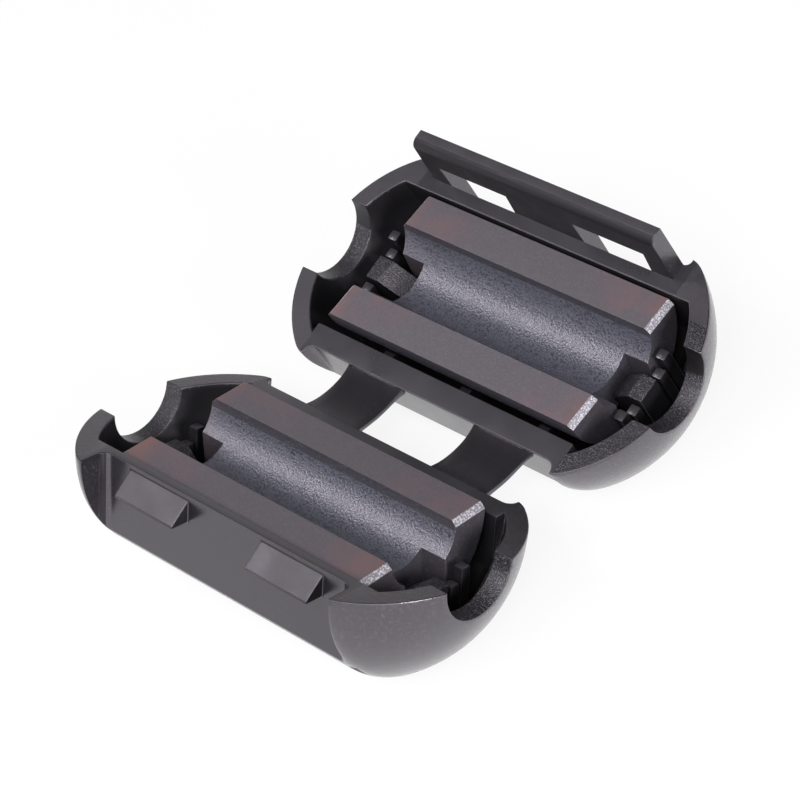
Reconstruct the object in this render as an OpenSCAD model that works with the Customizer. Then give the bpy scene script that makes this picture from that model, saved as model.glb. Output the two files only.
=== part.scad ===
// Open clip-on ferrite bead: a hinged plastic case in two half barrels round a split ferrite ring.
// Lengths are in millimetres. X runs along the cable, +Z is up, and the open part lies on z = 0.
// Each half is drawn in its own frame: x along the cable, +y towards the hinge, and z = 0 on the
// plane where the two ferrite faces meet when the case is shut.

/* [Ferrite cores] */
// Length of a half core
core_len = 28.2; // [24:0.1:32]
// Outer radius of the half ring
core_r = 7.25; // [6.8:0.05:7.6]
// Radius of the cable channel in the ferrite
channel_r = 3.75; // [3.5:0.05:4.2]
// Chamfer at both ends of the ferrite faces
core_chamfer = 0.5; // [0.3:0.05:1]
// Gap left between the ferrite faces when the case is shut
face_gap = 0.04; // [0.02:0.01:0.1]
// Room between a core and its pocket on every side
core_room = 0.25; // [0.2:0.05:0.35]
// Angle by which a loose core leans in its half when the case lies open, hinge side up
core_lean = 7; // [0.5:0.5:7]
// How far the axis of a leaning core stands above its shut place
core_lift = 0.38; // [0.1:0.02:0.5]
// Depth below the ferrite faces of the line about which a core leans
lean_depth = 0.6; // [0:0.1:2]
// Further room between a core and its pocket on the hinge side
hinge_room = 0.4; // [0:0.05:0.5]
// Room between a core and the ends of its pocket
end_room = 0.6; // [0.5:0.05:0.8]
// How far the loose back core has slid along the cable in the open case
core_slide = 0.4; // [0:0.05:0.5]

/* [Case] */
// Reach of the case past each end of the cores
end_reach = 5.9; // [5.4:0.1:7]
// Width of the rim beside the core pocket
rim_w = 3.7; // [3.4:0.05:4.6]
// How much larger the radius of the domes along the cable is than the barrel's
dome_swell = 0.9; // [0.6:0.1:1.6]
// Radius of the soft turn from the barrel into the domes
dome_turn_r = 3; // [2.6:0.1:4]
// Thickness of the barrel and dome walls
wall = 1.8; // [1.2:0.1:2.2]
// Thickness of the end walls that grip the cable
end_wall = 1.8; // [1.2:0.1:2.2]
// Radius of the half-round cable notch in the end walls
notch_r = 3.8; // [2.5:0.05:3.9]
// How far the plastic rim stays below the ferrite faces
rim_drop = 0.05; // [0.04:0.01:0.3]
// Angle between the rim of each half and the level when the case lies open
open_tilt = 19.5; // [5:0.5:25]

/* [Latch] */
// Wall left between the core pocket and the flat that carries the catch teeth
catch_wall = 0.9; // [0.8:0.05:1.2]
// Reach of the catch flat past each end of the cores
catch_past_core = 0.1; // [0:0.05:0.4]
// Radius where the catch flat turns into the domes
catch_fillet = 0.9; // [0.5:0.1:1.2]
// Radius where the flat below the latch panel turns into the domes
panel_fillet = 0.6; // [0.4:0.1:0.7]
// Gap between the shut latch panel and the catch flat
panel_gap = 0.4; // [0.3:0.01:0.5]
// Thickness of the latch panel
panel_t = 1.6; // [1.2:0.05:1.65]
// Height of the latch panel above the ferrite faces
panel_h = 5.7; // [4.5:0.1:6]
// Gap between each end of the panel and the end of the catch flat
panel_end_gap = 0.55; // [0.45:0.05:1]
// How much shorter each end of the panel is at its top edge
panel_slant = 0.2; // [0:0.05:1]
// Radius of the panel's inner top edge, which rides over the teeth
panel_lead_r = 0.8; // [0.2:0.05:1.1]
// Width of the panel beside its windows
panel_leg = 2.2; // [1.8:0.05:2.6]
// Length of each catch tooth along the cable
tooth_len = 6.9; // [5:0.1:7.4]
// Depth of a tooth's top edge below the rim
tooth_drop = 0.4; // [0.2:0.05:0.6]
// Height of a tooth from its ledge to its top edge
tooth_h = 2.05; // [1.4:0.05:2.2]
// How far a tooth stands out of the flat
tooth_out = 1.85; // [1.2:0.05:1.95]
// Room between a tooth and its window along the cable
window_room = 0.35; // [0.2:0.05:0.4]
// Room between a tooth's ledge and the latch bar
ledge_room = 0.12; // [0.1:0.02:0.3]

/* [Hinge] */
// Wall left between the core pocket and the flat that carries the hinge straps
hinge_wall = 2.2; // [2:0.05:2.6]
// Reach of the hinge flat past each end of the cores
hinge_past_core = 0.2; // [0:0.05:0.5]
// Radius where the hinge flat turns into the domes
hinge_fillet = 0.9; // [0.6:0.1:1]
// Distance from the hinge flat to the line about which the case shuts
strap_reach = 3; // [2.6:0.05:3.6]
// Width of one hinge strap along the cable
strap_w = 6; // [5:0.1:7]
// Thickness of the hinge straps
strap_t = 0.45; // [0.3:0.05:0.6]
// Depth of the top of the straps below the rim
strap_drop = 0.3; // [0.1:0.05:0.5]
// Distance between the middles of the two straps
strap_pitch = 14.6; // [12:0.1:15.5]
// How far the pair of straps sits off the middle of the case
strap_shift = 1; // [0:0.1:1.8]

/* [Core catches] */
// Width of the post that holds each end of a core
post_w = 2.4; // [1.8:0.1:2.6]
// Reach of the post into the slot of the core
post_reach = 2; // [1.8:0.1:2.6]
// Length of the post along the cable
post_len = 3.8; // [3.4:0.1:4]
// Length of the flat top of the post
post_top_len = 1.5; // [0.8:0.1:2]
// Depth of the post's top below the ferrite faces
post_top_depth = 3.1; // [2.6:0.1:3.4]
// Depth of the foot of the post's ramp below the ferrite faces
post_ramp_depth = 4.9; // [4.2:0.1:5.4]
// Room between the post and the slot when the core has leant as far as it goes
slot_room = 0.1; // [0.05:0.05:0.2]
// Width of the small pegs beside the posts
peg_w = 1; // [0.8:0.1:1.2]
// Depth of the outer pegs' tops below the ferrite faces
outer_peg_depth = 2.4; // [1.8:0.1:2.8]
// Depth of the inner pegs' tops below the ferrite faces
inner_peg_depth = 3.6; // [3.2:0.1:4]
// Thickness of the seat ribs under a core
rib_t = 1.2; // [0.8:0.1:1.6]
// Distance of the outer seat ribs from the middle of the case
rib_place = 9; // [6:0.5:9.5]

/* [Hidden] */
$fn = 96;

// One overrun serves all cuts
overrun = 1;

// Core pocket; a core leans about a line that lifts its axis by the wanted height
pocket_len = core_len + 2 * end_room;
pocket_half_w = core_r + core_room;
seat_gap = core_room / 2;
core_pivot = core_lift / sin(core_lean);
shut_turn = 180 - 2 * open_tilt;
core_swing = core_lean * 180 / shut_turn;

// Barrel with domes: each dome is an arc that meets the end wall at the notch's edge, and a smaller arc
// joins it to the barrel
case_len = core_len + 2 * end_reach;
case_r = pocket_half_w + rim_w;
dome_r = case_r + dome_swell;
dome_centre_r = wall / 2;
notch_rise = notch_r - dome_centre_r;
dome_centre_x = case_len / 2 - sqrt(dome_r * dome_r - notch_rise * notch_rise);
turn_centre_r = case_r - dome_turn_r;
turn_rise = turn_centre_r - dome_centre_r;
turn_reach = sqrt((dome_r - dome_turn_r) * (dome_r - dome_turn_r) - turn_rise * turn_rise);
turn_centre_x = dome_centre_x + turn_reach;

// Posts and pegs stand where the cores end
post_in = core_len / 2 - post_reach;
post_out = post_in + post_len;
peg_gap = peg_w / 4;
slot_half_w = post_w / 2 + slot_room + (core_r - lean_depth) * sin(core_swing);

// Latch: the panel shuts over the catch flat with the teeth inside its windows
catch_flat = pocket_half_w + catch_wall;
catch_half_len = core_len / 2 + catch_past_core;
panel_in = catch_flat + panel_gap;
panel_out = panel_in + panel_t;
panel_half_len = catch_half_len - panel_end_gap;
tooth_top = rim_drop + tooth_drop;
ledge_depth = tooth_top + tooth_h;
window_top = ledge_depth + ledge_room;
window_half_len = tooth_len / 2 + window_room;
tooth_place = panel_half_len - panel_leg - window_half_len;
tooth_nose = tooth_h / 8;

// Hinge: its line stands over the ground so that both barrels lie on it, and the straps are arcs
// that leave both halves along their rims
hinge_flat = pocket_half_w + hinge_room + hinge_wall;
hinge_half_len = core_len / 2 + hinge_past_core;
hinge_reach = hinge_flat + strap_reach;
hinge_z = case_r - hinge_reach * sin(open_tilt);
strap_depth = rim_drop + strap_drop;
strap_tangent = strap_reach + strap_depth * tan(open_tilt);
strap_r = strap_tangent / tan(open_tilt);
strap_centre_z = (strap_r - strap_depth) / cos(open_tilt);
strap_wedge = 2 * strap_r;

plastic = "#2b2a2c";
plastic_panel = "#343336";
ferrite = "#5f5b60";

// Outline of the barrel and its domes from the axis outwards, shrunk by inset
module barrel_profile(inset, half_len) {
    far = 2 * case_len / dome_r;
    intersection() {
        translate([0, -half_len])
            square([case_r - inset, 2 * half_len]);
        union() {
            translate([0, -turn_centre_x])
                square([case_r - inset, 2 * turn_centre_x]);
            for (end = [0, 1])
                mirror([0, end]) {
                    translate([turn_centre_r, turn_centre_x])
                        circle(dome_turn_r - inset);
                    intersection() {
                        translate([dome_centre_r, dome_centre_x])
                            circle(dome_r - inset);
                        polygon([
                            [0, dome_centre_x],
                            [dome_centre_r, dome_centre_x],
                            [dome_centre_r + far * turn_rise, dome_centre_x + far * turn_reach],
                            [0, dome_centre_x + far * turn_reach]
                        ]);
                    }
                }
        }
    }
}

// Barrel round the cable axis
module barrel(inset, half_len) {
    rotate([0, 90, 0])
        rotate_extrude()
            barrel_profile(inset, half_len);
}

// Everything above a depth, to be cut away
module above(depth) {
    translate([-case_len, -case_len, -depth])
        cube([2 * case_len, 2 * case_len, case_len]);
}

// Flat-bottomed side cut with round inner corners, from a distance off the axis outwards
module side_cut(off_axis, half_len, fillet) {
    translate([0, off_axis, -case_len])
        linear_extrude(2 * case_len) {
            translate([-half_len, fillet])
                square([2 * half_len, case_r]);
            translate([fillet - half_len, 0])
                square([2 * (half_len - fillet), case_r]);
            for (side = [-1, 1])
                translate([side * (half_len - fillet), fillet])
                    circle(fillet);
        }
}

// Room inside one half: the core pocket and, past its ends, pockets that follow the domes
module cavity() {
    intersection() {
        barrel(wall, case_len / 2 - end_wall);
        union() {
            translate([-case_len, -pocket_half_w, -case_len])
                cube([2 * case_len, 2 * pocket_half_w + hinge_room, 2 * case_len]);
            for (side = [0, 1])
                mirror([side, 0, 0])
                    translate([pocket_len / 2, 0, -case_len])
                        cube([case_len, case_len, 2 * case_len]);
        }
    }
}

// Ribs across the bottom of the pocket, hollowed to seat the core
module seat_ribs() {
    difference() {
        for (place = [-rib_place, 0, rib_place])
            translate([place - rib_t / 2, -pocket_half_w - seat_gap, -case_r])
                cube([rib_t, 2 * (pocket_half_w + seat_gap) + hinge_room, case_r - core_r / 2]);
        rotate([0, 90, 0])
            cylinder(r = core_r + seat_gap, h = case_len, center = true);
    }
}

// Side view of a catch post: a flat top and a ramp down to the ferrite
module post_profile() {
    polygon([
        [post_in, -case_r],
        [post_in, -post_ramp_depth],
        [post_out - post_top_len, -post_top_depth],
        [post_out, -post_top_depth],
        [post_out, -case_r]
    ]);
}

// Square peg on the floor of an end pocket
module peg(inner_side, depth) {
    translate([post_out - peg_w, inner_side, -case_r])
        cube([peg_w, peg_w, case_r - depth]);
}

// Posts and pegs at both ends of a half
module core_catches() {
    for (end = [0, 1])
        mirror([end, 0, 0]) {
            translate([0, post_w / 2, 0])
                rotate([90, 0, 0])
                    linear_extrude(post_w)
                        post_profile();
            for (side = [0, 1])
                mirror([0, side, 0]) {
                    peg(post_w / 2 + peg_gap, inner_peg_depth);
                    peg(post_w / 2 + peg_w + 2 * peg_gap, outer_peg_depth);
                }
        }
}

// What both halves share: hollow half barrel with notches, hinge flat, ribs and core catches
module half_case() {
    difference() {
        barrel(0, case_len / 2);
        above(rim_drop);
        cavity();
        rotate([0, 90, 0])
            cylinder(r = notch_r, h = case_len + 2 * overrun, center = true);
        side_cut(hinge_flat, hinge_half_len, hinge_fillet);
    }
    intersection() {
        barrel(wall / 2, case_len / 2);
        union() {
            seat_ribs();
            core_catches();
        }
    }
}

// Catch tooth: a ramp from the rim down to a square ledge
module catch_tooth() {
    translate([-tooth_len / 2, 0, 0])
        rotate([90, 0, 90])
            linear_extrude(tooth_len)
                polygon([
                    [-catch_flat + catch_wall / 2, -tooth_top],
                    [-catch_flat, -tooth_top],
                    [-catch_flat - tooth_out, tooth_nose - ledge_depth],
                    [-catch_flat - tooth_out, -ledge_depth],
                    [-catch_flat + catch_wall / 2, -ledge_depth]
                ]);
}

// Latch panel outline with slanted ends
module panel_outline() {
    panel_top_half = panel_half_len - panel_slant;
    polygon([
        [-panel_half_len, -rim_drop],
        [panel_half_len, -rim_drop],
        [panel_top_half, panel_h],
        [-panel_top_half, panel_h]
    ]);
}

// Waste outside the round inner top edge of the panel
module panel_lead() {
    translate([-case_len, -panel_in - panel_lead_r, panel_h - panel_lead_r])
        rotate([90, 0, 90])
            linear_extrude(2 * case_len)
                difference() {
                    square(panel_lead_r + overrun);
                    circle(panel_lead_r);
                }
}

// Window of one tooth, open towards the rim
module window_outline() {
    for (side = [-1, 1])
        translate([side * tooth_place - window_half_len, -case_r])
            square([2 * window_half_len, case_r + window_top]);
}

// Lays a half down in the open part, hinge line on y = 0
module lay_front() {
    translate([0, 0, hinge_z])
        rotate([-open_tilt, 0, 0])
            translate([0, -hinge_reach, 0])
                children();
}

module lay_back() {
    mirror([0, 1, 0])
        lay_front()
            children();
}

module front_shell() {
    color(plastic)
        lay_front()
            union() {
                difference() {
                    half_case();
                    mirror([0, 1, 0])
                        side_cut(catch_flat, catch_half_len, catch_fillet);
                }
                for (side = [-1, 1])
                    translate([side * tooth_place, 0, 0])
                        catch_tooth();
            }
}

module back_shell() {
    color(plastic)
        lay_back()
            difference() {
                half_case();
                mirror([0, 1, 0])
                    side_cut(panel_out, catch_half_len, panel_fillet);
                translate([0, -panel_in, 0])
                    rotate([90, 0, 0])
                        linear_extrude(case_r)
                            window_outline();
            }
}

module latch_panel() {
    color(plastic_panel)
        lay_back()
            difference() {
                translate([0, -panel_in, 0])
                    rotate([90, 0, 0])
                        linear_extrude(panel_t)
                            difference() {
                                panel_outline();
                                window_outline();
                            }
                panel_lead();
            }
}

// Hinge strap: a thin arc between the hinge flats of both halves
module hinge_strap(place) {
    color(plastic)
        translate([place - strap_w / 2, 0, hinge_z + strap_centre_z])
            rotate([90, 0, 90])
                linear_extrude(strap_w)
                    intersection() {
                        difference() {
                            circle(strap_r + strap_t);
                            circle(strap_r);
                        }
                        polygon([
                            [0, 0],
                            [-strap_wedge * sin(open_tilt), -strap_wedge * cos(open_tilt)],
                            [strap_wedge * sin(open_tilt), -strap_wedge * cos(open_tilt)]
                        ]);
                    }
}

module hinge_strap_left() {
    hinge_strap(strap_shift - strap_pitch / 2);
}

module hinge_strap_right() {
    hinge_strap(strap_shift + strap_pitch / 2);
}

// Half ring of ferrite with a cable channel, chamfered face ends and a slot for each catch post
module half_core() {
    difference() {
        rotate([0, 90, 0])
            cylinder(r = core_r, h = core_len, center = true);
        above(face_gap / 2);
        rotate([0, 90, 0])
            cylinder(r = channel_r, h = core_len + 2 * overrun, center = true);
        for (end = [0, 1])
            mirror([end, 0, 0]) {
                translate([post_in - end_room, -slot_half_w, -case_r])
                    cube([core_len, 2 * slot_half_w, case_r]);
                translate([core_len / 2, core_r + overrun, -face_gap / 2])
                    rotate([90, 0, 0])
                        linear_extrude(2 * (core_r + overrun))
                            polygon([
                                [-core_chamfer, 0],
                                [0, -core_chamfer],
                                [core_chamfer, 0]
                            ]);
            }
    }
}

// Half core as it leans in the open case, hinge side up
module leaning_core() {
    translate([0, -core_pivot, -lean_depth])
        rotate([core_lean, 0, 0])
            translate([0, core_pivot, lean_depth])
                half_core();
}

module front_core() {
    color(ferrite)
        lay_front()
            leaning_core();
}

module back_core() {
    color(ferrite)
        lay_back()
            translate([core_slide, 0, 0])
                leaning_core();
}

front_shell();
back_shell();
latch_panel();
hinge_strap_left();
hinge_strap_right();
front_core();
back_core();
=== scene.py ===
import math

import bpy
from mathutils import Matrix, Vector


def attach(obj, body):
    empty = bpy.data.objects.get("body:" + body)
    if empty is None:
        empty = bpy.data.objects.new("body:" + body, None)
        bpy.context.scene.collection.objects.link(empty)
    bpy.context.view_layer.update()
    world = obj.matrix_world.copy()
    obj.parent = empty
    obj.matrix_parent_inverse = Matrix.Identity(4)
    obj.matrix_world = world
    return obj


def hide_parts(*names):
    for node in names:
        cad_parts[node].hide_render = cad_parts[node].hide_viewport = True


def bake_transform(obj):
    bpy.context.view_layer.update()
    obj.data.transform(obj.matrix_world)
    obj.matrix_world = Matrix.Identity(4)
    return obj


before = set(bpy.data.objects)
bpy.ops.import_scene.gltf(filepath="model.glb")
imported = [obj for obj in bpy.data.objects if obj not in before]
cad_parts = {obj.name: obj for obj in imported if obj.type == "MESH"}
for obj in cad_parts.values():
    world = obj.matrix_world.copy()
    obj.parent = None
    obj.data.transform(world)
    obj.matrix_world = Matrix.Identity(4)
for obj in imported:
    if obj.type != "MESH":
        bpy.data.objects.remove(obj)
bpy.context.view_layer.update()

# Sizes that the part's source drives, in millimetres, and the tilt of each half in the open case
MM = 0.001
OPEN_TILT = math.radians(19.5)
AXIS_Z = 11.2
HINGE_REACH = 13.1
HINGE_Z = AXIS_Z - HINGE_REACH * math.sin(OPEN_TILT)
HINGE_FLAT = 10.1
CATCH_FLAT = 8.4
POCKET_HALF = 7.9
POCKET_END = 14.7
END_WALL_IN = 18.2
NOTCH_R = 3.8
RIM_DROP = 0.05
POST_HALF_W = 1.2
POST_IN = 12.0
POST_OUT = 16.0
CORE_LEAN = math.radians(7)
CHANNEL_HALF = 3.6
STRAP_W = 6.0
STRAP_PLACES = {"left": -6.3, "right": 8.3}
STRAP_DEPTH = 0.35
STRAP_ROOT_T = 0.82
STRAP_MIDDLE_SHARE = 0.55
STRAP_FLARE_SHARE = 0.07

# Rounds on the edges of the moulding, the straps and the ferrite, in millimetres
CASE_ROUND = 0.12
STRAP_ROUND = 0.08
CORE_ROUND = 0.06

# Where the finishes of the case end, in millimetres in a half's own frame
GRAIN_EDGE = 6.1
SMOOTH_NOTCH_DEPTH = 2.6
POST_FOOT_DEPTH = 7
TEETH_END = 12
STEP_FROM = 13
STEP_TO = 16
DOME_FROM = 14
BARREL_FROM = 8.6
PANEL_TOP_FROM = 5
PANEL_FOOT_END = 13.9
TIP_FROM = 13.4
TIP_TO = 15.5
TIP_OUT = 10.2
TIP_DEPTH = 0.6

# How near to a plane a face counts as on it, and how near to each other points are merged, in millimetres
ON_PLANE = 0.02
MERGED = 0.002


# From the row frame in metres to one half's own frame in millimetres: x along the cable,
# v from the cable axis towards the hinge, w up from the plane where the halves meet
def half_frame(half):
    side = -1 if half == "front" else 1
    axis = Vector((0, side * HINGE_REACH * math.cos(OPEN_TILT), AXIS_Z)) * MM
    along_v = Vector((0, -side * math.cos(OPEN_TILT), -math.sin(OPEN_TILT)))
    along_w = Vector((0, -side * math.sin(OPEN_TILT), math.cos(OPEN_TILT)))
    turn = Matrix((Vector((1, 0, 0)), along_v, along_w)).to_4x4()
    return Matrix.Scale(1 / MM, 4) @ turn @ Matrix.Translation(-axis)


# Colours are written as sRGB hex values and handed to the shaders as linear light
def linear(hex_colour):
    parts = [int(hex_colour[i:i + 2], 16) / 255 for i in (1, 3, 5)]
    return [p / 12.92 if p <= 0.04045 else ((p + 0.055) / 1.055) ** 2.4 for p in parts] + [1]


# Adds a node, gives it its settings, and fills its inputs with values or links
def add(tree, kind, inputs=None, **settings):
    made = tree.nodes.new(kind)
    for name, value in settings.items():
        setattr(made, name, value)
    for key, value in (inputs or {}).items():
        if isinstance(value, bpy.types.NodeSocket):
            tree.links.new(value, made.inputs[key])
        else:
            made.inputs[key].default_value = value
    return made


# Starts a material: its tree, its shader and the object coordinates in metres
def new_material(name, ior, specular):
    made = bpy.data.materials.new(name)
    made.use_nodes = True
    tree = made.node_tree
    shader = tree.nodes["Principled BSDF"]
    shader.inputs["IOR"].default_value = ior
    shader.inputs["Specular IOR Level"].default_value = specular
    shader.inputs["Specular Tint"].default_value = linear("#fbf3ff")
    place = add(tree, "ShaderNodeTexCoord").outputs["Object"]
    return made, tree, shader, place


# Black polyamide, injection moulded. The tool's polished faces leave it glossy, its spark-eroded faces
# leave a grain that breaks up the gloss, and handling dulls it in faint clouds. The grain's small glints
# are painted highlights: paler specks mixed into the colour where the grain is high. The real grain is
# well under a tenth of a millimetre, and is drawn two or three times as coarse so that it shows.
def moulded_nylon(name, colour, painted_glint, ior, roughness, grain_mm, grain_depth_mm, painted_glint_from):
    made, tree, shader, place = new_material(name, ior, 1.0)
    grain = add(tree, "ShaderNodeTexNoise", {
        "Vector": place, "Scale": 1 / (grain_mm * MM), "Detail": 3.0, "Roughness": 0.6})
    cloud = add(tree, "ShaderNodeTexNoise", {
        "Vector": place, "Scale": 1 / (4 * MM), "Detail": 4.0, "Roughness": 0.65})
    # Painted highlights: where the grain is high, the colour turns to the paler glint colour
    painted_glint_specks = add(tree, "ShaderNodeMapRange", {
        "Value": grain.outputs["Fac"], "From Min": painted_glint_from, "From Max": painted_glint_from + 0.16})
    base = add(tree, "ShaderNodeMix", {
        "Factor": painted_glint_specks.outputs["Result"], "A": linear(colour), "B": linear(painted_glint)}, data_type="RGBA")
    gloss = add(tree, "ShaderNodeMapRange", {
        "Value": cloud.outputs["Fac"], "From Min": 0.3, "From Max": 0.7,
        "To Min": roughness * 0.85, "To Max": roughness * 1.2})
    bump = add(tree, "ShaderNodeBump", {
        "Height": grain.outputs["Fac"], "Distance": grain_depth_mm * MM, "Strength": 1.0})
    tree.links.new(base.outputs["Result"], shader.inputs["Base Color"])
    tree.links.new(gloss.outputs["Result"], shader.inputs["Roughness"])
    tree.links.new(bump.outputs["Normal"], shader.inputs["Normal"])
    return made


# Manganese-zinc ferrite, pressed and sintered: dense dark ceramic. Ground faces are smooth mauve grey and
# turn rusty towards the ends of the bars, fired faces are bluer and keep the pits of the press. The grit
# is finer on the real core, and is drawn at about two tenths of a millimetre so that it shows.
def sintered_ferrite(name, colour, fleck, fleck_from, stain, ior, roughness, grit_mm, grit_depth_mm):
    made, tree, shader, place = new_material(name, ior, 0.5)
    shader.inputs["Roughness"].default_value = roughness
    grit = add(tree, "ShaderNodeTexNoise", {
        "Vector": place, "Scale": 1 / (grit_mm * MM), "Detail": 2.0, "Roughness": 0.6})
    cloud = add(tree, "ShaderNodeTexNoise", {
        "Vector": place, "Scale": 1 / (4.5 * MM), "Detail": 4.0, "Roughness": 0.6})
    along = add(tree, "ShaderNodeSeparateXYZ", {"Vector": place})
    from_middle = add(tree, "ShaderNodeMath", {0: along.outputs["X"]}, operation="ABSOLUTE")
    near_end = add(tree, "ShaderNodeMapRange", {
        "Value": from_middle.outputs["Value"], "From Min": 5 * MM, "From Max": 13.5 * MM})
    blotch = add(tree, "ShaderNodeMapRange", {
        "Value": cloud.outputs["Fac"], "From Min": 0.42, "From Max": 0.62, "To Max": stain})
    corner = add(tree, "ShaderNodeMapRange", {
        "Value": along.outputs["X"], "From Min": -12 * MM, "From Max": -14.2 * MM, "To Max": 1.1 * stain})
    rust = add(tree, "ShaderNodeMath", {
        0: near_end.outputs["Result"], 1: blotch.outputs["Result"], 2: corner.outputs["Result"]},
        operation="MULTIPLY_ADD")
    stained = add(tree, "ShaderNodeMix", {
        "Factor": rust.outputs["Value"], "A": linear(colour), "B": linear("#8a5140")}, data_type="RGBA")
    flecks = add(tree, "ShaderNodeMapRange", {
        "Value": grit.outputs["Fac"], "From Min": fleck_from, "From Max": fleck_from + 0.14})
    base = add(tree, "ShaderNodeMix", {
        "Factor": flecks.outputs["Result"], "A": stained.outputs["Result"], "B": linear(fleck)},
        data_type="RGBA")
    bump = add(tree, "ShaderNodeBump", {
        "Height": grit.outputs["Fac"], "Distance": grit_depth_mm * MM, "Strength": 1.0})
    tree.links.new(base.outputs["Result"], shader.inputs["Base Color"])
    tree.links.new(bump.outputs["Normal"], shader.inputs["Normal"])
    return made


polished_nylon = moulded_nylon(
    "moulded_nylon_polished", "#1a181b", "#252326",
    ior=1.56, roughness=0.24, grain_mm=0.3, grain_depth_mm=0.003, painted_glint_from=0.58)
satin_nylon = moulded_nylon(
    "moulded_nylon_satin", "#2a292c", "#373639",
    ior=1.56, roughness=0.3, grain_mm=0.22, grain_depth_mm=0.003, painted_glint_from=0.58)
# Darker nylon that is painted shade, for hollows and faces under edges; the real nylon there is the same
shade_painted_nylon = moulded_nylon(
    "moulded_nylon_painted_shade", "#0e0d0f", "#161517",
    ior=1.34, roughness=0.5, grain_mm=0.3, grain_depth_mm=0.006, painted_glint_from=0.62)
dull_nylon = moulded_nylon(
    "moulded_nylon_dull", "#252327", "#353338",
    ior=1.56, roughness=0.48, grain_mm=0.2, grain_depth_mm=0.012, painted_glint_from=0.56)
matte_nylon = moulded_nylon(
    "moulded_nylon_matte", "#2a282c", "#3a383d",
    ior=1.56, roughness=0.5, grain_mm=0.22, grain_depth_mm=0.01, painted_glint_from=0.58)
grained_nylon = moulded_nylon(
    "moulded_nylon_grained", "#1a181b", "#3c393f",
    ior=1.65, roughness=0.22, grain_mm=0.24, grain_depth_mm=0.02, painted_glint_from=0.55)
# Spark-eroded: near black, with bright painted glints in its grain
eroded_nylon = moulded_nylon(
    "moulded_nylon_spark_eroded", "#0e0d0f", "#57545c",
    ior=1.42, roughness=0.42, grain_mm=0.14, grain_depth_mm=0.065, painted_glint_from=0.52)

# The grained outside has a pale bloom of dust and handling, which shows at a low angle
bloom = grained_nylon.node_tree.nodes["Principled BSDF"]
bloom.inputs["Sheen Weight"].default_value = 0.17
bloom.inputs["Sheen Roughness"].default_value = 0.35

ground_ferrite = sintered_ferrite(
    "sintered_ferrite_ground", "#4c474d", "#575157",
    fleck_from=0.48, stain=0.38, ior=1.9, roughness=0.55, grit_mm=0.2, grit_depth_mm=0.006)
fired_ferrite = sintered_ferrite(
    "sintered_ferrite_fired", "#494b56", "#1b1b23",
    fleck_from=0.49, stain=0.03, ior=2.3, roughness=0.36, grit_mm=0.19, grit_depth_mm=0.066)
gritty_ferrite = sintered_ferrite(
    "sintered_ferrite_press_grit", "#68666d", "#b4b2ba",
    fleck_from=0.48, stain=0.03, ior=1.9, roughness=0.45, grit_mm=0.15, grit_depth_mm=0.04)
# Darker ferrite for the outer sides and the ends: on the sides it is painted shade
side_shade_and_dark_end_ferrite = sintered_ferrite(
    "sintered_ferrite_side_shade_and_dark_end", "#2d2c32", "#45444b",
    fleck_from=0.55, stain=0.03, ior=1.6, roughness=0.6, grit_mm=0.18, grit_depth_mm=0.02)


# Makes one object active and alone selected
def pick(piece):
    bpy.ops.object.select_all(action="DESELECT")
    piece.select_set(True)
    bpy.context.view_layer.objects.active = piece


# Copies a CAD node's mesh to a new piece, with its loose triangles joined and its flat faces cleared
def copy_of(node, name):
    piece = bpy.data.objects.new(name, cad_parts[node].data.copy())
    bpy.context.scene.collection.objects.link(piece)
    piece.data.materials.clear()
    pick(piece)
    bpy.ops.mesh.customdata_custom_splitnormals_clear()
    bpy.ops.object.mode_set(mode="EDIT")
    bpy.ops.mesh.select_all(action="SELECT")
    bpy.ops.mesh.remove_doubles(threshold=MERGED * MM)
    bpy.ops.mesh.dissolve_limited(angle_limit=math.radians(0.5))
    bpy.ops.object.mode_set(mode="OBJECT")
    return piece


# Applies a modifier with the given settings to a piece
def modify(piece, kind, **settings):
    pick(piece)
    made = piece.modifiers.new(kind.lower(), kind)
    for name, value in settings.items():
        setattr(made, name, value)
    bpy.ops.object.modifier_apply(modifier=made.name)


# Rounds the real edges of a moulded or ground piece, other than those it is told to spare, and keeps its
# flat faces flat in the light
def round_edges(piece, radius_mm, spared=None):
    pick(piece)
    bpy.ops.object.mode_set(mode="EDIT")
    bpy.ops.mesh.select_mode(type="EDGE")
    bpy.ops.mesh.select_all(action="DESELECT")
    bpy.ops.mesh.edges_select_sharp(sharpness=math.radians(28))
    bpy.ops.object.mode_set(mode="OBJECT")
    verts = piece.data.vertices
    weight = piece.data.attributes.new("bevel_weight_edge", "FLOAT", "EDGE")
    for edge in piece.data.edges:
        middle = (verts[edge.vertices[0]].co + verts[edge.vertices[1]].co) / 2
        if edge.select and not (spared and spared(middle)):
            weight.data[edge.index].value = 1
    modify(piece, "BEVEL", width=radius_mm * MM, segments=2, limit_method="WEIGHT", use_clamp_overlap=False)
    pick(piece)
    bpy.ops.object.shade_smooth_by_angle(angle=math.radians(40))
    modify(piece, "WEIGHTED_NORMAL", keep_sharp=True, weight=90)


# Cuts a mesh across the cable at both ends of the core pocket, and its rim along the cable beside the
# notches, so that the rim's finishes can end there
def split_rim(piece, half):
    to_half = half_frame(half)
    to_row = to_half.inverted()
    beside_notch = to_row @ Vector((0, -GRAIN_EDGE, 0))
    across = (to_row.to_3x3() @ Vector((0, 1, 0))).normalized()
    pick(piece)
    bpy.ops.object.mode_set(mode="EDIT")
    for x_mm in (-POCKET_END, POCKET_END):
        bpy.ops.mesh.select_all(action="SELECT")
        bpy.ops.mesh.bisect(plane_co=(x_mm * MM, 0, 0), plane_no=(1, 0, 0))
    bpy.ops.mesh.select_mode(type="FACE")
    bpy.ops.mesh.select_all(action="DESELECT")
    bpy.ops.object.mode_set(mode="OBJECT")
    for face in piece.data.polygons:
        face.select = abs((to_half @ face.center).z + RIM_DROP) < ON_PLANE
    bpy.ops.object.mode_set(mode="EDIT")
    bpy.ops.mesh.bisect(plane_co=beside_notch, plane_no=across, threshold=MERGED * MM)
    bpy.ops.object.mode_set(mode="OBJECT")
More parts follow.
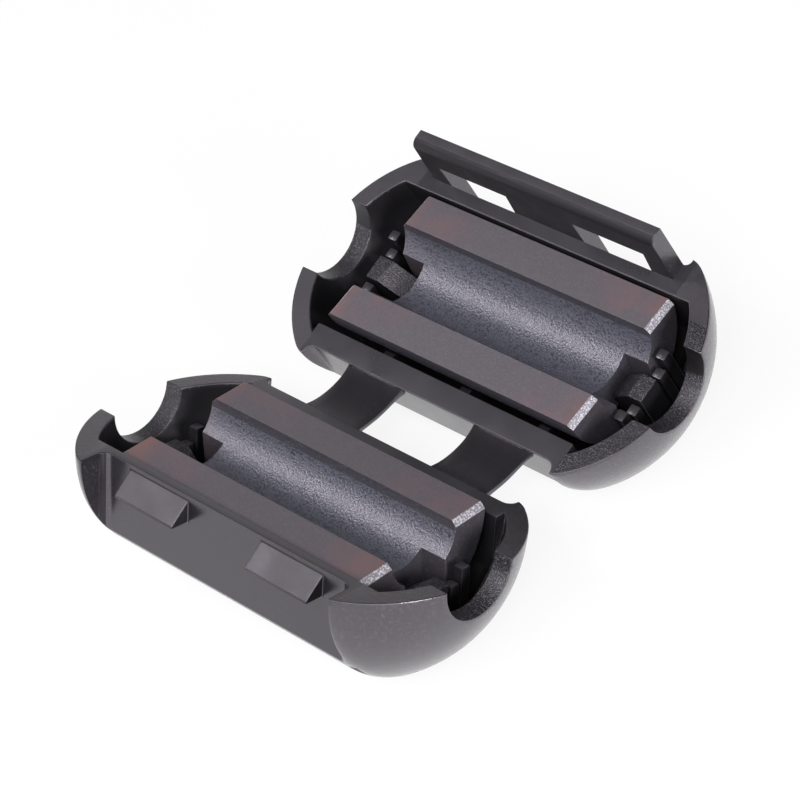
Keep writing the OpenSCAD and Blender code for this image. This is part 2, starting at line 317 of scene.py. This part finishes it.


# Gives each face of a half of the case the finish that the tool left there. Faces in the pocket, the
# notches, under the latch panel, beside the teeth and on the bevels by the steps get the darker nylon,
# painted shade
def finish_case(piece, half):
    to_half = half_frame(half)
    turn = to_half.to_3x3().normalized()
    for finish in (satin_nylon, polished_nylon, shade_painted_nylon, dull_nylon, matte_nylon, grained_nylon,
                   eroded_nylon):
        piece.data.materials.append(finish)
    satin, polished, inside, dull, matte, grained, eroded = range(7)
    for face in piece.data.polygons:
        x, v, w = to_half @ face.center
        nx, nv, nw = turn @ face.normal
        off_axis = math.hypot(v, w)
        outwards = nx if x > 0 else -nx
        away_from_axis = (nv * v + nw * w) / max(off_axis, ON_PLANE)
        on_rim = nw > 0.95 and abs(w + RIM_DROP) < ON_PLANE
        on_rim_edge = abs(w + RIM_DROP) < CASE_ROUND + 0.03 and 0.2 < nw < 0.95
        in_notch = abs(x) > END_WALL_IN - 0.2 and off_axis < NOTCH_R + 0.1 and away_from_axis < -0.5
        on_post_top = abs(v) < POST_HALF_W + ON_PLANE and POST_IN < abs(x) < POST_OUT and nw > 0.3
        on_post = on_post_top and w > -POST_FOOT_DEPTH
        in_pocket = w < -RIM_DROP - 0.2 and abs(x) < POCKET_END and abs(v) < POCKET_HALF + ON_PLANE
        by_tooth = half == "front" and v < -CATCH_FLAT - 0.1 and abs(x) < TEETH_END
        on_tooth = by_tooth and nw > 0.4 and nv < -0.4
        on_panel_top = half == "back" and w > PANEL_TOP_FROM
        in_panel = half == "back" and v < -CATCH_FLAT and w > 0 and nv > 0.15
        on_step_edge = STEP_FROM < abs(x) < STEP_TO and v < -CATCH_FLAT - 0.2 and -0.97 < outwards < -0.2
        on_end = abs(x) > END_WALL_IN and outwards > 0.05
        on_dome = abs(x) > DOME_FROM and outwards > 0.2 and away_from_axis > 0.15
        if on_post or (in_notch and (v > 0 or w < -SMOOTH_NOTCH_DEPTH)):
            face.material_index = eroded
        # Painted shade: the darker nylon in the smooth part of the notches and in the core pocket
        elif in_notch or in_pocket:
            face.material_index = inside
        elif on_end:
            face.material_index = grained
        # Painted shade: the darker nylon on the latch panel's inner face
        elif in_panel:
            face.material_index = inside
        elif on_rim and abs(x) > POCKET_END:
            by_right_notch = x > 0 and v > -GRAIN_EDGE
            face.material_index = grained if half == "front" else eroded if by_right_notch else dull
        elif on_tooth:
            face.material_index = matte
        elif on_panel_top:
            face.material_index = dull
        elif not on_rim and abs(nv) > 0.97 and abs(v) > POCKET_HALF + 0.3:
            face.material_index = polished
        elif on_rim:
            face.material_index = satin
        # Painted shade on the bevels by the steps; a rougher dull finish on the rim's edge bevels
        elif on_rim_edge or on_step_edge:
            face.material_index = inside if on_step_edge else dull
        # Painted shade: the darker nylon on the faces beside the teeth
        elif by_tooth:
            face.material_index = inside
        elif off_axis > BARREL_FROM or on_dome:
            face.material_index = grained
        # Painted shade: the darker nylon on the walls below the rim
        elif w < -RIM_DROP - 0.2 and abs(nw) < 0.9:
            face.material_index = inside
        else:
            face.material_index = satin


# Edges of the back half that stay sharp: the two tips of its rim, where the flat below the latch panel
# runs out into the barrel, and the foot of the panel
def stays_sharp(point):
    x, v, w = half_frame("back") @ point
    at_tip = TIP_FROM < abs(x) < TIP_TO and v < -TIP_OUT and w > -TIP_DEPTH
    at_foot = v < -CATCH_FLAT - 0.2 and abs(x) < PANEL_FOOT_END and abs(w + RIM_DROP) < 0.06
    return at_tip or at_foot


# Front half of the case, with the catch teeth
front_case = copy_of("front_shell", "front_case")
split_rim(front_case, "front")
round_edges(front_case, CASE_ROUND)
finish_case(front_case, "front")
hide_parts("front_shell")
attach(front_case, "front")

# Back half of the case: half barrel and latch panel are one moulding
back_case = copy_of("back_shell", "back_case")
panel = copy_of("latch_panel", "panel")
modify(back_case, "BOOLEAN", operation="UNION", solver="EXACT", object=panel)
bpy.data.objects.remove(panel)
split_rim(back_case, "back")
round_edges(back_case, CASE_ROUND, stays_sharp)
finish_case(back_case, "back")
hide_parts("back_shell", "latch_panel")
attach(back_case, "back")


# Living hinge: a thin band spun about the strap's own centre, thicker and wider at both roots
def make_strap(side):
    reach = HINGE_REACH - HINGE_FLAT
    tangent = reach + STRAP_DEPTH * math.tan(OPEN_TILT)
    radius = tangent / math.tan(OPEN_TILT)
    centre_z = HINGE_Z + (radius - STRAP_DEPTH) / math.cos(OPEN_TILT)
    root = OPEN_TILT * 1.05
    bpy.ops.object.select_all(action="DESELECT")
    bpy.ops.mesh.primitive_plane_add(size=STRAP_W * MM, location=(0, 0, 0))
    strap = bpy.context.object
    strap.name = "hinge_strap_" + side + "_band"
    bpy.ops.object.mode_set(mode="EDIT")
    bpy.ops.mesh.select_all(action="DESELECT")
    bpy.ops.object.mode_set(mode="OBJECT")
    for vert in strap.data.vertices:
        vert.select = vert.co.y > 0
    bpy.ops.object.mode_set(mode="EDIT")
    bpy.ops.mesh.delete(type="VERT")
    bpy.ops.mesh.select_all(action="SELECT")
    bpy.ops.mesh.subdivide(number_cuts=5)
    bpy.ops.object.mode_set(mode="OBJECT")
    for vert in strap.data.vertices:
        vert.co.x += STRAP_PLACES[side] * MM
        vert.co.y = -radius * math.sin(root) * MM
        vert.co.z = (centre_z - radius * math.cos(root)) * MM
    bpy.ops.object.mode_set(mode="EDIT")
    bpy.ops.mesh.select_all(action="SELECT")
    bpy.ops.mesh.spin(steps=28, angle=-2 * root, center=(0, 0, centre_z * MM), axis=(1, 0, 0))
    bpy.ops.mesh.select_all(action="SELECT")
    bpy.ops.mesh.remove_doubles(threshold=MERGED * MM)
    bpy.ops.object.mode_set(mode="OBJECT")
    weight = strap.vertex_groups.new(name="root_thickness")
    for vert in strap.data.vertices:
        share = abs(vert.co.y) / (radius * math.sin(root) * MM)
        vert.co.x += (vert.co.x - STRAP_PLACES[side] * MM) * STRAP_FLARE_SHARE * share ** 3
        thickness = STRAP_MIDDLE_SHARE + (1 - STRAP_MIDDLE_SHARE) * share ** 5
        weight.add([vert.index], thickness, "REPLACE")
    pick(strap)
    bpy.ops.object.mode_set(mode="EDIT")
    bpy.ops.mesh.select_all(action="SELECT")
    bpy.ops.mesh.normals_make_consistent(inside=False)
    bpy.ops.object.mode_set(mode="OBJECT")
    if sum(face.normal.z for face in strap.data.polygons) < 0:
        strap.data.flip_normals()
    modify(strap, "SOLIDIFY", thickness=STRAP_ROOT_T * MM, offset=-1, vertex_group="root_thickness",
           use_even_offset=True)
    round_edges(strap, STRAP_ROUND)
    strap.data.materials.append(polished_nylon)
    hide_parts("hinge_strap_" + side)
    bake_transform(strap)


make_strap("left")
make_strap("right")


# Ferrite half core: ground faces, fired channel and outside, gritty chamfers, and outer sides and ends drawn
# darker, which on the sides is painted shade
def make_core(half):
    core = copy_of(half + "_core", half + "_ferrite_half")
    for finish in (fired_ferrite, ground_ferrite, gritty_ferrite, side_shade_and_dark_end_ferrite):
        core.data.materials.append(finish)
    fired, ground, gritty, side_shade_and_dark_end = range(4)
    to_half = half_frame(half)
    turn = to_half.to_3x3().normalized()
    lean = Matrix.Rotation(-CORE_LEAN, 3, "X")
    for face in core.data.polygons:
        along, across, up = lean @ turn @ face.normal
        off_axis = abs((to_half @ face.center).y)
        if up > 0.98 and off_axis > CHANNEL_HALF:
            face.material_index = ground
        elif up > 0.6 and abs(along) > 0.6:
            face.material_index = gritty
        # Outer sides and ends: the darker ferrite, painted shade on the sides
        elif abs(along) > 0.9 or abs(across) > 0.98:
            face.material_index = side_shade_and_dark_end
        else:
            face.material_index = fired
    round_edges(core, CORE_ROUND)
    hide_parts(half + "_core")
    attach(core, half + "_ferrite")


make_core("front")
make_core("back")

# Pale floor, which keeps a soft shadow and is white to the camera and in reflections
bpy.ops.object.select_all(action="DESELECT")
bpy.ops.mesh.primitive_plane_add(size=1.6, location=(0, 0, 0))
floor = bpy.context.object
floor.name = "floor"
paper = bpy.data.materials.new("white_paper")
paper.use_nodes = True
tree = paper.node_tree
shade = tree.nodes["Principled BSDF"]
shade.inputs["Base Color"].default_value = linear("#f4f4f4")
shade.inputs["Roughness"].default_value = 0.9
rays = add(tree, "ShaderNodeLightPath")
seen = add(tree, "ShaderNodeMath", {0: rays.outputs["Is Camera Ray"], 1: 0.86}, operation="MULTIPLY")
mirrored = add(tree, "ShaderNodeMath", {
    0: rays.outputs["Is Glossy Ray"], 1: rays.outputs["Is Transmission Ray"]}, operation="MAXIMUM")
shown = add(tree, "ShaderNodeMath", {
    0: seen.outputs["Value"], 1: mirrored.outputs["Value"]}, operation="MAXIMUM")
white = add(tree, "ShaderNodeEmission", {"Color": linear("#ffffff"), "Strength": 1.0})
mixed = add(tree, "ShaderNodeMixShader", {
    0: shown.outputs["Value"], 1: shade.outputs["BSDF"], 2: white.outputs["Emission"]})
tree.links.new(mixed.outputs["Shader"], tree.nodes["Material Output"].inputs["Surface"])
floor.data.materials.append(paper)

# Light tent: white to the camera and along the horizon, with a dark studio ceiling above it
scene = bpy.context.scene
world = bpy.data.worlds.new("light_tent")
scene.world = world
world.use_nodes = True
tree = world.node_tree
rays = add(tree, "ShaderNodeLightPath")
clear = add(tree, "ShaderNodeMath", {
    0: rays.outputs["Is Camera Ray"], 1: rays.outputs["Is Transmission Ray"]}, operation="MAXIMUM")
towards = add(tree, "ShaderNodeTexCoord").outputs["Generated"]
height = add(tree, "ShaderNodeSeparateXYZ", {"Vector": towards})
lowness = add(tree, "ShaderNodeMath", {0: 1.0, 1: height.outputs["Z"]}, operation="SUBTRACT", use_clamp=True)
fade = add(tree, "ShaderNodeMath", {0: lowness.outputs["Value"], 1: 3.0}, operation="POWER")
tent = add(tree, "ShaderNodeMapRange", {"Value": fade.outputs["Value"], "To Min": 0.1, "To Max": 1.0})
level = add(tree, "ShaderNodeMath", {
    0: tent.outputs["Result"], 1: clear.outputs["Value"]}, operation="MAXIMUM")
sky = tree.nodes["Background"]
sky.inputs["Color"].default_value = linear("#ffffff")
tree.links.new(level.outputs["Value"], sky.inputs["Strength"])


# Soft lamps: two on the camera's side, a small one along the channels, a low one past the right ends
def softbox(name, place, size, watts):
    lamp = bpy.data.lights.new(name, "AREA")
    lamp.shape = "SQUARE"
    lamp.size = size
    lamp.energy = watts
    made = bpy.data.objects.new(name, lamp)
    scene.collection.objects.link(made)
    made.location = place
    made.rotation_euler = (Vector((0, 0, 0.008)) - Vector(place)).to_track_quat("-Z", "Y").to_euler()


softbox("key", (0.3, -0.35, 0.45), 0.25, 2.6)
softbox("fill", (0.0, -0.45, 0.5), 0.3, 2.1)
softbox("left", (-0.28, -0.18, 0.37), 0.1, 0.45)
softbox("right", (0.45, -0.05, 0.14), 0.2, 1.75)

# Camera at the photograph's view: turned, raised and rolled about the part, in degrees, with a long lens
azimuth, elevation, roll = (math.radians(a) for a in (51.394, 41.733, -13.775))
back = Vector((math.sin(azimuth) * math.cos(elevation),
               -math.cos(azimuth) * math.cos(elevation), math.sin(elevation)))
level_right = Vector((math.cos(azimuth), math.sin(azimuth), 0))
level_up = back.cross(level_right)
right = level_right * math.cos(roll) + level_up * math.sin(roll)
up = level_up * math.cos(roll) - level_right * math.sin(roll)
camera = bpy.data.objects.new("camera", bpy.data.cameras.new("camera"))
scene.collection.objects.link(camera)
camera.data.sensor_width = 36
camera.data.lens = 130.5
camera.data.clip_start = 0.01
eye = (right * -1.821 + up * 7.435 + back * 251.106) * MM
camera.matrix_world = Matrix.Translation(eye) @ Matrix((right, up, back)).transposed().to_4x4()
scene.camera = camera
scene.view_settings.view_transform = "Standard"
